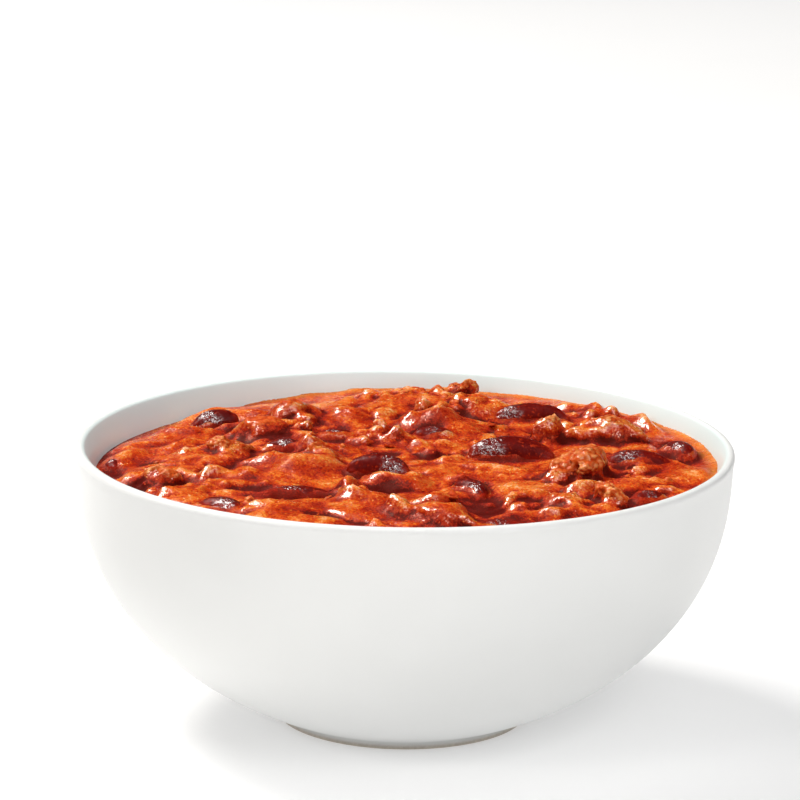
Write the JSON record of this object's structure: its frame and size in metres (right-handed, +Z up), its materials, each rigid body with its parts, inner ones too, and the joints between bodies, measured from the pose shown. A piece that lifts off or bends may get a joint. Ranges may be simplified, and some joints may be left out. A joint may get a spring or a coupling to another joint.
{
  "type": "chili con carne in a bowl",
  "caption": "Chili con carne with kidney beans, meat and tomato pieces in red sauce, served in a round white porcelain bowl.",
  "frame": {"origin": "centre of the bowl's base, on the surface it stands on", "axes": "+Z up along the bowl's axis, -Y towards the viewer"},
  "size_m": [0.1502, 0.1502, 0.067],
  "materials": {
    "porcelain": "gloss",
    "sauce": "gloss",
    "bean_skin": "gloss",
    "meat": "satin",
    "tomato": "gloss"
  },
  "bodies": {
    "root": {"bean_01": "bean_skin", "bean_02": "bean_skin", "bean_03": "bean_skin", "bean_04": "bean_skin", "bean_05": "bean_skin", "bean_06": "bean_skin", "bean_07": "bean_skin", "bean_08": "bean_skin", "bean_09": "bean_skin", "bean_10": "bean_skin", "bean_11": "bean_skin", "bean_12": "bean_skin", "bean_13": "bean_skin", "bean_14": "bean_skin", "bean_15": "bean_skin", "bowl": "porcelain", "chili": "sauce", "meat_01": "meat", "meat_02": "meat", "meat_03": "meat", "meat_04": "meat", "meat_05": "meat", "meat_06": "meat", "meat_07": "meat", "meat_08": "meat", "meat_09": "meat", "tomato_01": "tomato", "tomato_02": "tomato", "tomato_03": "tomato"}
  },
  "joints": []
}
